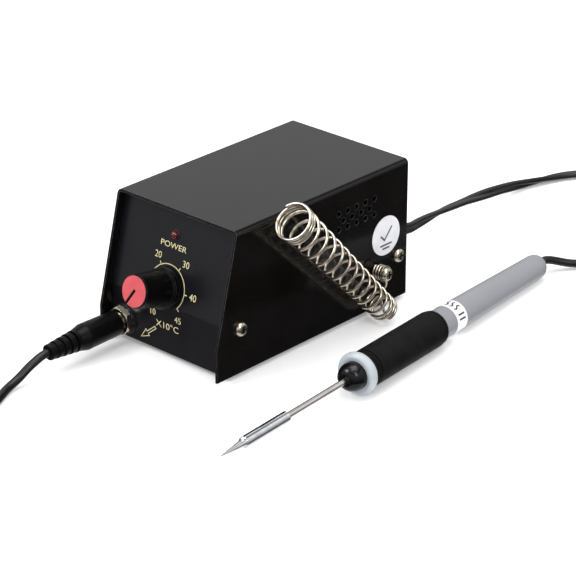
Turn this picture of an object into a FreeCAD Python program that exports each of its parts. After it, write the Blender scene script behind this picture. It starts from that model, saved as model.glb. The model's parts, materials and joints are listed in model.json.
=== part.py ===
import FreeCAD, Part
import math
import os

from FreeCAD import Placement, Rotation, Vector

# Miniature soldering station: a folded steel power unit with a heat knob, a coil holder
# on its right side, and a low-voltage iron on a cord.  Millimetres.
# X runs across the front panel, Y runs from the front panel to the back, Z is up.
# Places below are measured on the bench from under the middle of the case's front edge.
# The finished pieces are then moved so that the origin is the middle of the underside of
# the front left foot.

# ---- driving dimensions -------------------------------------------------------------
FOOT_H = 2.0
FOOT_R = 4.5
FOOT_X = 23.0
FOOT_Y = (17.0, 101.0)
CASE_W = 65.0
CASE_L = 112.5
CASE_H = 60.0
SHEET = 1.0
BEND_R = 2.0
KNEE_H = 13.0            # upright part of the cover's front edge
FRONT_SETBACK = 12.0     # how far the sloped front edge leans back at the top
PANEL_RECESS = 6.0
CREASE_H = 21.0          # where the front panel starts to lean back
TRAY_GAP = 0.15
TOP_GAP = 0.10

CASE_Z0 = FOOT_H
CASE_TOP = FOOT_H + CASE_H
HALF_W = CASE_W / 2.0
WALL_IN = HALF_W - SHEET
TRAY_HALF = WALL_IN - TRAY_GAP
TRAY_TOP = CASE_TOP - SHEET - TOP_GAP
TRAY_REAR = CASE_L - 1.0
FLOOR_Z = CASE_Z0 + SHEET
LEAN = math.atan(FRONT_SETBACK / (CASE_H - KNEE_H))
LEAN_DEG = math.degrees(LEAN)
LEAN_SLOPE = math.tan(LEAN)

M3_R = 1.5
M3_CLEAR_R = 1.6
M3_THREAD_GAP = 0.05
RUN_GAP = 0.05

CASE_SCREW_Z = 21.1
CASE_SCREW_Y = (12.9, 106.75)

VENT_R = 1.22
VENT_PITCH = 5.38
VENT_ROW_PITCH = 3.43
VENT_Y0 = 70.2
VENT_Z0 = 44.0

# Dial, lamp and jack.  X across, V up the leaning part of the panel from its crease.
KNOB_X = -2.0
KNOB_V = 6.65
LAMP_X = -1.6
LAMP_V = 28.4
KNOB_TOP = 18.2
KNOB_REST_DEG = 240.0
CAP_R = 6.25
CAP_DEPTH = 0.9
POINTER_W = 1.15
SHAFT_R = 3.0
BUSHING_R = 3.5
JACK_X = -24.5
JACK_Z = 9.3
JACK_BORE_R = 2.8
JACK_THREAD_R = 4.0

# Coil holder.
WIRE_R = 0.65
COIL_MOUTH = Vector(42.0, 32.4, 63.0)
COIL_TAIL = Vector(40.5, 89.9, 4.9)
COIL_MOUTH_R = 8.25 - WIRE_R
COIL_TAIL_R = 5.75 - WIRE_R
COIL_TURNS = 16.5
COIL_START_DEG = 215.0
EYE_Y = 93.3
EYE_Z = 18.7
EYE_R = 2.7
EYE_TURNS = 2.5
EYE_PITCH = 2 * WIRE_R + 0.06
EYE_TOP_X = HALF_W + RUN_GAP * 3 + 2 * WIRE_R + EYE_TURNS * EYE_PITCH

# Iron.  S runs along the handle from the middle of its collar towards the cord.
IRON_ORIGIN = Vector(75.24, 33.16, 8.80)
IRON_AXIS = Vector(-0.1067, 0.9940, -0.0226)
TIP_S = -85.2
FERRULE_FRONT_S = -71.65
FERRULE_BACK_S = -45.35
NOSE_S = -8.15
GRIP_FRONT_S = 2.5
GRIP_BACK_S = 53.2
BAND_S = (61.0, 68.2)
TAIL_ROUND_S = 129.4
TAIL_S = 134.2
COLLAR_R = 8.8
GRIP_R = 7.65
HANDLE_FRONT_R = 6.4
HANDLE_TAIL_R = 5.35
FERRULE_R = 2.25
HEATER_R = 1.25

CORD_R = 1.75
CORD_Z = CORD_R + 0.1
PLUG_FRONT_Y = 0.8
PLUG_END_Y = -35.6

GROMMET_R = 4.0
MAINS_R = 2.0
MAINS_X = 25.0
MAINS_Z = 26.5
MAINS_PLUG_AT = Vector(42.0, 273.0, 7.2)
MAINS_PLUG_DIR = Vector(0.88, -0.475, 0.0)

# Inside the case: the board and the transformer's core as (x0, x1, y0, y1).
BOARD = (-25.0, 25.0, 27.0, 57.0)
BOARD_Z = 11.0
BOARD_T = 1.6
STANDOFF_INSET = 4.0
CORE = (-15.0, 20.0, 66.0, 84.0)
CORE_Z = (3.1, 32.1)
EAR_X = (-20.5, 25.5)
CORE_MID_Y = (CORE[2] + CORE[3]) / 2.0


# ---- small helpers ------------------------------------------------------------------
def box(x0, x1, y0, y1, z0, z1):
    return Part.makeBox(x1 - x0, y1 - y0, z1 - z0, Vector(x0, y0, z0))


def rod(radius, z0, z1, x=0.0, y=0.0):
    return Part.makeCylinder(radius, z1 - z0, Vector(x, y, z0))


def tube(outer, inner, z0, z1, x=0.0, y=0.0):
    return rod(outer, z0, z1, x, y).cut(rod(inner, z0 - 1.0, z1 + 1.0, x, y))


def turned(outline):
    """Solid of revolution about Z from (radius, height) corners."""
    points = [Vector(r, 0, z) for r, z in outline]
    points.append(points[0])
    face = Part.Face(Part.makePolygon(points))
    return face.revolve(Vector(0, 0, 0), Vector(0, 0, 1), 360)


def prism_x(outline, x0, x1):
    """Outline of (y, z) corners drawn out along X."""
    points = [Vector(x0, y, z) for y, z in outline]
    points.append(points[0])
    return Part.Face(Part.makePolygon(points)).extrude(Vector(x1 - x0, 0, 0))


def arc_points(centre_r, centre_z, radius_r, radius_z, deg0, deg1, count):
    """Points on an elliptical arc in the (radius, height) plane."""
    points = []
    for i in range(count + 1):
        angle = math.radians(deg0 + (deg1 - deg0) * i / count)
        points.append((centre_r + radius_r * math.cos(angle),
                       centre_z + radius_z * math.sin(angle)))
    return points


def hexagon(across_flats, z0, z1, turn_deg=0.0):
    corner = across_flats / math.sqrt(3.0)
    points = []
    for i in range(7):
        angle = math.radians(60.0 * i + turn_deg)
        points.append(Vector(corner * math.cos(angle), corner * math.sin(angle), z0))
    return Part.Face(Part.makePolygon(points)).extrude(Vector(0, 0, z1 - z0))


def hex_nut(across_flats, bore_r, z0, z1, turn_deg=0.0):
    """Hexagon nut whose outer corners are turned off at 30 degrees."""
    corner = across_flats / math.sqrt(3.0)
    flat = across_flats / 2.0
    fall = (corner - flat) * math.tan(math.radians(30.0))
    envelope = turned([(0, z0), (flat, z0), (corner, z0 + fall), (corner, z1 - fall),
                       (flat, z1), (0, z1)])
    nut = hexagon(across_flats, z0, z1, turn_deg).common(envelope)
    return nut.cut(rod(bore_r, z0 - 1.0, z1 + 1.0))


def swept_wire(points, radius, deflection=0.08):
    """Round wire along a smooth line through the points, as short mitred runs."""
    curve = Part.BSplineCurve()
    curve.interpolate(Points=points)
    stations = curve.toShape().discretize(Deflection=deflection)
    spine = Part.makePolygon(stations)
    ring = Part.Wire([Part.makeCircle(radius, stations[0], stations[1] - stations[0])])
    mitred = 1
    return spine.makePipeShell([ring], True, False, mitred)


def pan_screw(length, head_r=2.95, head_h=2.0, shank_r=M3_R):
    """Cross-recess pan-head screw along -Z, with the underside of its head at 0."""
    crown_r = 1.5
    side_h = 0.45
    crown = arc_points(crown_r, side_h, head_r - crown_r, head_h - side_h, 0.0, 90.0, 8)
    head = turned([(0, 0), (head_r, 0)] + crown + [(0, head_h)])
    recess_w = 0.85
    recess_half = 1.75
    recess_z = head_h - 1.1
    slot_a = box(-recess_half, recess_half, -recess_w / 2, recess_w / 2, recess_z, head_h + 1)
    slot_b = box(-recess_w / 2, recess_w / 2, -recess_half, recess_half, recess_z, head_h + 1)
    tip_chamfer = 0.4
    shank = turned([(0, 0.2), (shank_r, 0.2), (shank_r, -length + tip_chamfer),
                    (shank_r - tip_chamfer, -length), (0, -length)])
    return head.fuse(shank).cut(slot_a).cut(slot_b)


def placed(shape, placement):
    copy = shape.copy()
    copy.Placement = placement.multiply(copy.Placement)
    return copy


def right_wall(y, z, x=HALF_W):
    """Local +Z points out of the right-hand wall."""
    return Placement(Vector(x, y, z), Rotation(Vector(0, 1, 0), 90))


def left_wall(y, z):
    """Local +Z points out of the left-hand wall."""
    return Placement(Vector(-HALF_W, y, z), Rotation(Vector(0, 1, 0), -90))


def upright_panel(x, z):
    """Local +Z points out of the upright strip of the front panel."""
    return Placement(Vector(x, PANEL_RECESS, z), Rotation(Vector(1, 0, 0), 90))


def leaning_panel(x, v):
    """Local +Z points out of the leaning part of the front panel, local +Y up along it."""
    base = Placement(Vector(0, PANEL_RECESS, CASE_Z0 + CREASE_H),
                     Rotation(Vector(1, 0, 0), 90 - LEAN_DEG))
    return base.multiply(Placement(Vector(x, v, 0), Rotation()))


def on_iron():
    """Local +Z runs along the iron towards its cord, from the middle of the collar."""
    return Placement(IRON_ORIGIN, Rotation(Vector(0, 0, 1), IRON_AXIS))


# ---- case ---------------------------------------------------------------------------
def station_cover():
    """Top and both sides in one folded sheet, open at the front, back and bottom."""
    shell = box(-HALF_W, HALF_W, 0, CASE_L, CASE_Z0, CASE_TOP)
    shell = rounded_along_y(shell, BEND_R)
    hollow = box(-WALL_IN, WALL_IN, -1, CASE_L + 1, CASE_Z0 - 1, CASE_TOP - SHEET)
    hollow = rounded_along_y(hollow, BEND_R - SHEET)
    shell = shell.cut(hollow)
    above = CASE_TOP + 1.0
    knee_z = CASE_Z0 + KNEE_H
    lean_y = (above - knee_z) * LEAN_SLOPE
    shell = shell.cut(prism_x([(-2, knee_z), (0, knee_z), (lean_y, above), (-2, above)],
                              -CASE_W, CASE_W))
    for y, z in vent_places():
        shell = shell.cut(placed(rod(VENT_R, -CASE_W - 2, 2), right_wall(y, z)))
    for y in CASE_SCREW_Y:
        shell = shell.cut(placed(rod(M3_CLEAR_R, -CASE_W - 2, 2),
                                 right_wall(y, CASE_SCREW_Z)))
    return shell.cut(placed(rod(M3_CLEAR_R, -3, 2), right_wall(EYE_Y, EYE_Z)))


def rounded_along_y(block, radius):
    """Round a block's two upper edges that run along Y."""
    top = block.BoundBox.ZMax
    edges = []
    for edge in block.Edges:
        bounds = edge.BoundBox
        if bounds.ZMin > top - 0.01 and bounds.YLength > 1.0:
            edges.append(edge)
    return block.makeFillet(radius, edges)


def vent_places():
    """Staggered rows of 5, 4 and 5 holes."""
    places = []
    for row, count in enumerate((5, 4, 5)):
        offset = VENT_PITCH / 2.0 if count == 4 else 0.0
        for column in range(count):
            places.append((VENT_Y0 + offset + column * VENT_PITCH,
                           VENT_Z0 + row * VENT_ROW_PITCH))
    return places


def chassis_tray():
    """Floor, folded front panel and back in one sheet, with flanges for the cover."""
    crease_z = CASE_Z0 + CREASE_H
    top_y = PANEL_RECESS + (TRAY_TOP - crease_z) * LEAN_SLOPE
    lean_step = SHEET / math.cos(LEAN)
    inner_crease_z = crease_z + (SHEET - lean_step) / LEAN_SLOPE
    outline = [(TRAY_REAR, TRAY_TOP), (TRAY_REAR, CASE_Z0), (PANEL_RECESS, CASE_Z0),
               (PANEL_RECESS, crease_z), (top_y, TRAY_TOP), (top_y + lean_step, TRAY_TOP),
               (PANEL_RECESS + SHEET, inner_crease_z), (PANEL_RECESS + SHEET, FLOOR_Z),
               (TRAY_REAR - SHEET, FLOOR_Z), (TRAY_REAR - SHEET, TRAY_TOP)]
    tray = prism_x(outline, -TRAY_HALF, TRAY_HALF)
    front = PANEL_RECESS + SHEET / 2
    back = TRAY_REAR - SHEET / 2
    flange_z = 9.0
    tab_z = 27.0
    tab_len = 11.0
    for side in (-1, 1):
        x0, x1 = sorted((side * (TRAY_HALF - SHEET), side * TRAY_HALF))
        tray = tray.fuse(box(x0, x1, front, back, CASE_Z0 + SHEET / 2, flange_z))
        tray = tray.fuse(box(x0, x1, front, front + tab_len, flange_z - 1, crease_z - 1))
        tray = tray.fuse(box(x0, x1, back - tab_len, back, flange_z - 1, tab_z))
        # The front tab reaches past the crease, so it is cut to the panel's lean.
        y_at_top = PANEL_RECESS + SHEET + (tab_z - crease_z) * LEAN_SLOPE
        tray = tray.fuse(prism_x([(PANEL_RECESS + SHEET, crease_z - 2), (y_at_top, tab_z),
                                  (front + tab_len, tab_z), (front + tab_len, crease_z - 2)],
                                 x0, x1))
    for y in CASE_SCREW_Y:
        tray = tray.cut(placed(rod(M3_R + M3_THREAD_GAP, -CASE_W - 2, 2),
                               right_wall(y, CASE_SCREW_Z)))
    tray = tray.cut(placed(rod(JACK_THREAD_R + 0.1, -2, 2), upright_panel(JACK_X, JACK_Z)))
    tray = tray.cut(placed(rod(BUSHING_R + 0.1, -2, 2), leaning_panel(KNOB_X, KNOB_V)))
    tray = tray.cut(placed(rod(1.6, -2, 2), leaning_panel(LAMP_X, LAMP_V)))
    tray = tray.cut(placed(rod(GROMMET_R, -3, 3), rear_panel(MAINS_X, MAINS_Z)))
    for x, y in floor_screw_places():
        tray = tray.cut(rod(M3_CLEAR_R, CASE_Z0 - 1, FLOOR_Z + 1, x, y))
    # Its upper corners are rounded to sit inside the cover's bends.
    envelope = box(-TRAY_HALF, TRAY_HALF, 0, CASE_L, CASE_Z0, TRAY_TOP)
    return tray.common(rounded_along_y(envelope, BEND_R - SHEET)).removeSplitter()


def rear_panel(x, z):
    """Local +Z points out of the back of the tray."""
    return Placement(Vector(x, TRAY_REAR, z), Rotation(Vector(1, 0, 0), -90))


def case_screws():
    screws = []
    for y in CASE_SCREW_Y:
        screws.append(placed(pan_screw(6.0), right_wall(y, CASE_SCREW_Z, HALF_W + 0.02)))
        left = left_wall(y, CASE_SCREW_Z)
        left.Base = left.Base + Vector(-0.02, 0, 0)
        screws.append(placed(pan_screw(6.0), left))
    return Part.makeCompound(screws)


def rubber_feet():
    bevel = 0.7
    top = FOOT_H - 0.02
    feet = []
    for x in (-FOOT_X, FOOT_X):
        for y in FOOT_Y:
            foot = turned([(0, 0), (FOOT_R - bevel, 0), (FOOT_R, bevel), (FOOT_R, top),
                           (0, top)])
            feet.append(foot.translated(Vector(x, y, 0)))
    return Part.makeCompound(feet)


def inspection_sticker():
    """Round paper seal on the right-hand wall."""
    return placed(rod(8.5, 0.01, 0.13), right_wall(99.2, 32.3))


# ---- dial, lamp and jack ------------------------------------------------------------
def at_dial(shape):
    return placed(shape, leaning_panel(KNOB_X, KNOB_V))


def at_jack(shape):
    return placed(shape, upright_panel(JACK_X, JACK_Z))


def pot_bushing():
    """Threaded neck and front plate of the potentiometer."""
    plate = rod(8.0, -2.2, -1.5)
    boss = rod(6.0, -2.2, -1.05)
    neck = rod(BUSHING_R, -2.2, 5.0)
    return at_dial(plate.fuse(boss).fuse(neck).cut(rod(SHAFT_R + RUN_GAP, -4, 6)))


def pot_can():
    """Pressed cup behind the potentiometer, open below for the track's three lugs."""
    can = rod(8.0, -9.5, -2.25).cut(rod(7.5, -9.0, -2.0))
    return at_dial(can.cut(box(-5.5, 5.5, -9.0, -5.0, -9.2, -7.6)))


def pot_track():
    """Resistive track on its phenolic plate, with three solder lugs."""
    plate = rod(7.3, -8.9, -7.9)
    lugs = Part.makeCompound([box(x - 0.7, x + 0.7, -13.0, -6.0, -8.7, -8.1)
                              for x in (-4.0, 0.0, 4.0)])
    return at_dial(plate.fuse(lugs))


def pot_shaft():
    """Round shaft with its wiper disc; it turns with the knob."""
    shaft = rod(SHAFT_R, -6.4, 14.0)
    wiper = rod(5.4, -7.4, -6.2)
    return at_dial(shaft.fuse(wiper))


def pot_nut():
    return at_dial(hex_nut(10.0, BUSHING_R + 0.02, 0.02, 2.2))


def knob_body():
    """Skirted knob with a raised pointer on its face."""
    gap = 0.8
    skirt_r = 8.4
    skirt_top = 3.2
    neck_r = 7.5
    nose_r = 6.85
    rim = 0.45
    outline = [(0, gap), (skirt_r, gap), (skirt_r, skirt_top), (neck_r, skirt_top + 0.8),
               (nose_r, KNOB_TOP - rim), (nose_r - rim, KNOB_TOP), (0, KNOB_TOP)]
    knob = turned(outline)
    knob = knob.cut(rod(6.4, gap - 1, 5.2))
    knob = knob.cut(rod(SHAFT_R + 0.02, gap, 14.1))
    knob = knob.cut(rod(CAP_R + 0.05, KNOB_TOP - CAP_DEPTH, KNOB_TOP + 1))
    half = POINTER_W / 2.0
    rib = box(-0.9, nose_r - 0.05, -half, half, KNOB_TOP - CAP_DEPTH - 0.2, KNOB_TOP + 0.05)
    rib.rotate(Vector(0, 0, 0), Vector(0, 0, 1), KNOB_REST_DEG)
    return at_dial(knob.fuse(rib))


def knob_cap():
    """Coloured disc let into the knob's face, slotted for the pointer."""
    cap = rod(CAP_R, KNOB_TOP - CAP_DEPTH + 0.02, KNOB_TOP + 0.15)
    half = POINTER_W / 2.0 + 0.05
    slot = box(-0.95, CAP_R + 1, -half, half, 0, KNOB_TOP + 2)
    slot.rotate(Vector(0, 0, 0), Vector(0, 0, 1), KNOB_REST_DEG)
    return at_dial(cap.cut(slot))


def at_lamp(shape):
    return placed(shape, leaning_panel(LAMP_X, LAMP_V))


def lamp_lens():
    """Three-millimetre indicator lamp pushed through the panel from behind."""
    dome = arc_points(0.0, 0.75, 1.5, 1.35, 0.0, 90.0, 10)
    return at_lamp(turned([(0, -3.4), (1.9, -3.4), (1.9, -2.4), (1.5, -2.4)] + dome))


def lamp_ring():
    ring = turned([(1.6, 0.01), (2.15, 0.01), (2.1, 0.3), (1.85, 0.42), (1.6, 0.3)])
    return at_lamp(ring)


def lamp_legs():
    legs = [rod(0.25, -13.0, -3.42, x) for x in (-0.9, 0.9)]
    return at_lamp(Part.makeCompound(legs))


def jack_bush():
    """Threaded metal neck of the low-voltage jack, with its flange behind the panel."""
    neck = turned([(JACK_BORE_R, -2.6), (5.4, -2.6), (5.4, -1.05), (JACK_THREAD_R, -1.05),
                   (JACK_THREAD_R, 4.4), (JACK_THREAD_R - 0.4, 4.8), (JACK_BORE_R, 4.8)])
    return at_jack(neck)


def jack_body():
    """Moulded back of the jack."""
    body = rod(5.2, -14.0, -2.65).cut(rod(3.0, -12.0, -2.0)).cut(rod(1.06, -15.0, -10.0))
    return at_jack(body)


def jack_pin():
    return at_jack(turned([(0, -17.0), (1.05, -17.0), (1.05, 1.3), (0.6, 1.8), (0, 1.8)]))


def jack_nut():
    return at_jack(hex_nut(11.0, JACK_THREAD_R + 0.02, 1.15, 4.0, -20.0))


def jack_lock_washer():
    """Toothed washer under the nut."""
    teeth = 12
    washer = tube(5.1, JACK_THREAD_R + 0.05, 0.55, 1.1)
    for i in range(teeth):
        tooth = box(4.8, 5.6, -0.7, 0.7, 0.55, 1.1)
        tooth.rotate(Vector(0, 0, 0), Vector(0, 0, 1), 360.0 * i / teeth)
        washer = washer.fuse(tooth)
    return at_jack(washer.removeSplitter())


def jack_washer():
    return at_jack(tube(6.4, JACK_THREAD_R + 0.05, 0.01, 0.5))


# ---- inside the case ----------------------------------------------------------------
def standoff_places():
    x0, x1, y0, y1 = BOARD
    inset = STANDOFF_INSET
    return [(x, y) for x in (x0 + inset, x1 - inset) for y in (y0 + inset, y1 - inset)]


def floor_screw_places():
    return standoff_places() + [(x, CORE_MID_Y) for x in EAR_X]


def circuit_board():
    x0, x1, y0, y1 = BOARD
    board = box(x0, x1, y0, y1, BOARD_Z + 0.02, BOARD_Z + BOARD_T)
    for x, y in standoff_places():
        board = board.cut(rod(M3_CLEAR_R, BOARD_Z - 1, BOARD_Z + BOARD_T + 1, x, y))
    return board


def board_standoffs():
    posts = []
    for x, y in standoff_places():
        post = hexagon(5.5, FLOOR_Z + 0.02, BOARD_Z)
        post = post.cut(rod(M3_R + M3_THREAD_GAP, FLOOR_Z - 1, BOARD_Z + 1))
        posts.append(post.translated(Vector(x, y, 0)))
    return Part.makeCompound(posts)


def board_screws():
    top = BOARD_Z + BOARD_T + 0.02
    return Part.makeCompound([pan_screw(4.6).translated(Vector(x, y, top))
                              for x, y in standoff_places()])


def floor_screws():
    """Screws that come up through the floor into the standoffs and the core's ears."""
    turn = Rotation(Vector(1, 0, 0), 180)
    screws = []
    for x, y in standoff_places():
        low = pan_screw(4.6, head_h=1.6)
        screws.append(placed(low, Placement(Vector(x, y, CASE_Z0 - 0.02), turn)))
    for x in EAR_X:
        low = pan_screw(6.5, head_h=1.6)
        screws.append(placed(low, Placement(Vector(x, CORE_MID_Y, CASE_Z0 - 0.02), turn)))
    return Part.makeCompound(screws)


def board_capacitor():
    z0 = BOARD_Z + BOARD_T + 0.02
    can = turned([(0, z0), (5.0, z0), (5.0, z0 + 1.4), (4.7, z0 + 1.9), (5.0, z0 + 2.4),
                  (5.0, z0 + 15.4), (4.4, z0 + 16.0), (0, z0 + 16.0)])
    return can.translated(Vector(-14.0, 47.0, 0))


def board_diodes():
    """Four rectifier diodes lying in a row, each with its two bent legs."""
    z0 = BOARD_Z + BOARD_T
    diodes = []
    for i in range(4):
        x = 5.0 * i
        body = Part.makeCylinder(1.35, 5.2, Vector(x, 42.4, z0 + 1.6), Vector(0, 1, 0))
        lead = Part.makeCylinder(0.4, 9.0, Vector(x, 40.5, z0 + 1.6), Vector(0, 1, 0))
        foot_a = rod(0.4, z0 + 0.02, z0 + 1.6, x, 40.5)
        foot_b = rod(0.4, z0 + 0.02, z0 + 1.6, x, 49.5)
        diodes.append(body.fuse(lead).fuse(foot_a).fuse(foot_b))
    return Part.makeCompound(diodes)


def board_regulator():
    """Power transistor standing on its three legs."""
    z0 = BOARD_Z + BOARD_T
    regulator = box(3.5, 13.5, 31.0, 35.4, z0 + 3.5, z0 + 12.5)
    for x in (6.0, 8.5, 11.0):
        regulator = regulator.fuse(box(x - 0.4, x + 0.4, 32.8, 33.4, z0 + 0.02, z0 + 4.0))
    return regulator


def heat_sink():
    """Finned aluminium plate behind the power transistor."""
    z0 = BOARD_Z + BOARD_T + 0.3
    sink = box(0.0, 17.0, 29.4, 30.9, z0, z0 + 22.0)
    for i in range(5):
        x = 3.85 * i
        sink = sink.fuse(box(x, x + 1.6, 24.6, 29.6, z0 + 6.0, z0 + 22.0))
    return sink


def transformer_core():
    """Laminated E-and-I stack with two windows round its middle limb."""
    x0, x1, y0, y1 = CORE
    z0, z1 = CORE_Z
    core = box(x0, x1, y0, y1, z0, z1)
    for wx0, wx1 in ((x0 + 6.0, x0 + 12.0), (x1 - 12.0, x1 - 6.0)):
        core = core.cut(box(wx0, wx1, y0 - 1, y1 + 1, z0 + 5.5, z1 - 5.5))
    return core


def transformer_bobbin():
    """Moulded former round the middle limb, with a flange above and below."""
    x0, x1, y0, y1 = CORE
    z0, z1 = CORE_Z
    limb = box(x0 + 12.0 - 0.1, x1 - 12.0 + 0.1, y0 - 0.1, y1 + 0.1, z0, z1)
    wall = box(x0 + 11.0, x1 - 11.0, y0 - 1.1, y1 + 1.1, z0 + 5.7, z1 - 5.7)
    for fz in (z0 + 5.7, z1 - 6.7):
        wall = wall.fuse(box(x0 + 6.2, x1 - 6.2, y0 - 6.5, y1 + 6.5, fz, fz + 1.0))
    return wall.cut(limb)


def transformer_winding():
    """Taped copper winding between the bobbin's flanges."""
    x0, x1, y0, y1 = CORE
    z0, z1 = CORE_Z
    coil = box(x0 + 6.4, x1 - 6.4, y0 - 5.8, y1 + 5.8, z0 + 6.75, z1 - 6.75)
    corners = [edge for edge in coil.Edges if edge.BoundBox.ZLength > 1.0]
    coil = coil.makeFillet(3.5, corners)
    return coil.cut(box(x0 + 10.95, x1 - 10.95, y0 - 1.15, y1 + 1.15, z0, z1))


def transformer_frame():
    """Clamp over the core, with an ear on each side screwed to the floor."""
    x0, x1, y0, y1 = CORE
    z1 = CORE_Z[1]
    wall = 1.0
    y0 = y0 + 2.0
    y1 = y1 - 2.0
    gap = 0.05
    frame = box(x0 - gap - wall, x1 + gap + wall, y0, y1, z1 + gap, z1 + gap + wall)
    frame = frame.fuse(box(x0 - gap - wall, x0 - gap, y0, y1, FLOOR_Z + 0.02, z1 + 0.5))
    frame = frame.fuse(box(x1 + gap, x1 + gap + wall, y0, y1, FLOOR_Z + 0.02, z1 + 0.5))
    ear_z = (FLOOR_Z + 0.02, FLOOR_Z + 0.02 + wall)
    outer_left = EAR_X[0] - 2.8
    outer_right = min(EAR_X[1] + 2.2, TRAY_HALF - SHEET - 0.1)
    frame = frame.fuse(box(outer_left, x0 - gap, y0, y1, *ear_z))
    frame = frame.fuse(box(x1 + gap, outer_right, y0, y1, *ear_z))
    for x in EAR_X:
        frame = frame.cut(rod(M3_CLEAR_R, FLOOR_Z - 1, ear_z[1] + 1, x, CORE_MID_Y))
    return frame.removeSplitter()


def transformer_nuts():
    z0 = FLOOR_Z + 0.02 + 1.0 + 0.02
    nut = hex_nut(5.0, M3_R + M3_THREAD_GAP, z0, z0 + 2.0, 30.0)
    return Part.makeCompound([nut.translated(Vector(x, CORE_MID_Y, 0)) for x in EAR_X])


def mains_grommet():
    """Strain-relief bush that grips the mains cord in the back panel."""
    neck_r = GROMMET_R - 0.05
    bush = turned([(MAINS_R + 0.1, -3.0), (neck_r + 0.8, -3.0), (neck_r + 0.8, -1.05),
                   (neck_r, -1.05), (neck_r, 0.05), (neck_r + 1.2, 0.05), (neck_r + 1.2, 1.4),
                   (neck_r, 2.2), (MAINS_R + 1.0, 5.0), (MAINS_R + 0.1, 5.0)])
    return placed(bush, rear_panel(MAINS_X, MAINS_Z))


def primary_leads():
    """Two insulated wires from the mains cord to the transformer."""
    y1 = CORE[3]
    z = CORE_Z[1] - 9.0
    wires = []
    for dx in (-1.0, 1.0):
        wires.append(swept_wire([Vector(MAINS_X + dx, 107.5, MAINS_Z),
                                 Vector(MAINS_X - 3 + dx, 101.0, MAINS_Z + 3),
                                 Vector(10 + dx * 3, 96.0, z + 3),
                                 Vector(5 + dx * 4, y1 + 7.0, z)], 0.7))
    return Part.makeCompound(wires)


def secondary_leads():
    """Two insulated wires from the transformer to the board."""
    y0 = CORE[2]
    top = BOARD_Z + BOARD_T + 1.0
    wires = []
    for x in (-2.0, 2.0):
        wires.append(swept_wire([Vector(x, y0 - 7.3, 22.0), Vector(x - 3, 56.6, 20.5),
                                 Vector(x - 6, 54.5, 16.0), Vector(x - 6, 53.8, top)], 0.7))
    return Part.makeCompound(wires)


def jack_leads():
    """Two insulated wires from the board to the back of the jack."""
    top = BOARD_Z + BOARD_T + 1.0
    ends = ((JACK_X, 24.0, JACK_Z), (JACK_X + 3.6, 21.0, JACK_Z + 0.5))
    wires = []
    for i, end in enumerate(ends):
        x = -20.0 + 3.0 * i
        wires.append(swept_wire([Vector(*end), Vector(end[0] + 1.0, 25.5 + i, 13.0),
                                 Vector(x, 31.0 + 2 * i, 16.5), Vector(x + 1, 36.5, top)], 0.7))
    return Part.makeCompound(wires)


def dial_leads():
    """Three insulated wires from the dial's lugs to the board."""
    top = BOARD_Z + BOARD_T + 1.0
    base = leaning_panel(KNOB_X, KNOB_V)
    wires = []
    for x in (-4.0, 0.0, 4.0):
        lug = base.multVec(Vector(x, -13.8, -8.4))
        wires.append(swept_wire([lug, Vector(lug.x, lug.y + 2.5, lug.z - 1.0),
                                 Vector(lug.x - 3.5, 27.0, 17.5),
                                 Vector(lug.x - 8.0, 31.5, top)], 0.6))
    return Part.makeCompound(wires)


# ---- coil holder --------------------------------------------------------------------
def coil_pitch(turn):
    """Relative pitch: closed turns at the mouth, open ones closing up to the tail."""
    closed = 1.6
    widest = 7.3
    narrow = 4.7
    tight = 1.75
    mouth_turns = 2.4
    tail_turns = COIL_TURNS - 2.6
    if turn < mouth_turns:
        return closed
    if turn < mouth_turns + 1.0:
        return closed + (widest - closed) * (turn - mouth_turns)
    if turn < tail_turns:
        share = (turn - mouth_turns - 1.0) / (tail_turns - mouth_turns - 1.0)
        return widest + (narrow - widest) * share
    return max(tight, narrow + (tight - narrow) * (turn - tail_turns) / 1.4)


def coil_points():
    """Centre line of the wire: tapering right-hand helix, lead, and upright eye."""
    axis = COIL_TAIL - COIL_MOUTH
    length = axis.Length
    axis.normalize()
    across = Vector(1, 0, 0) - axis * axis.x
    across.normalize()
    down = axis.cross(across)
    per_turn = 14
    steps = int(COIL_TURNS * per_turn)
    stations = [0.0]
    for i in range(steps):
        stations.append(stations[-1] + coil_pitch((i + 0.5) / per_turn) / per_turn)
    points = []
    for i, station in enumerate(stations):
        share = station / stations[-1]
        angle = math.radians(COIL_START_DEG + 360.0 * i / per_turn)
        radius = COIL_MOUTH_R + (COIL_TAIL_R - COIL_MOUTH_R) * share
        points.append(COIL_MOUTH + axis * (share * length)
                      + across * (radius * math.cos(angle)) + down * (radius * math.sin(angle)))
    return points + lead_points() + eye_points()


def lead_points():
    """Short run of wire from the tail of the coil up to the eye."""
    return [Vector(34.9, 93.4, 8.6), Vector(35.7, 95.6, 12.0), Vector(36.4, 95.2, 14.9)]


def eye_points():
    """Eye round the holder screw, winding in towards the wall."""
    per_turn = 14
    x_outer = EYE_TOP_X - RUN_GAP - WIRE_R
    points = []
    for i in range(int(EYE_TURNS * per_turn) + 1):
        turn = i / per_turn
        angle = math.radians(-80.0 - 360.0 * turn)
        points.append(Vector(x_outer - EYE_PITCH * turn, EYE_Y + EYE_R * math.cos(angle),
                             EYE_Z + EYE_R * math.sin(angle)))
    return points


def holder_coil():
    return swept_wire(coil_points(), WIRE_R, deflection=0.12)


def holder_washer():
    washer = tube(3.5, M3_R + 0.1, 0.0, 0.4)
    return placed(washer, right_wall(EYE_Y, EYE_Z, EYE_TOP_X))


def holder_screw():
    screw = pan_screw(EYE_TOP_X + 0.42 - WALL_IN + 3.2)
    return placed(screw, right_wall(EYE_Y, EYE_Z, EYE_TOP_X + 0.42))


def holder_nut():
    nut = hex_nut(5.5, M3_R + M3_THREAD_GAP, -2.4, 0.0)
    return placed(nut, right_wall(EYE_Y, EYE_Z, WALL_IN - 0.02))


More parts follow.
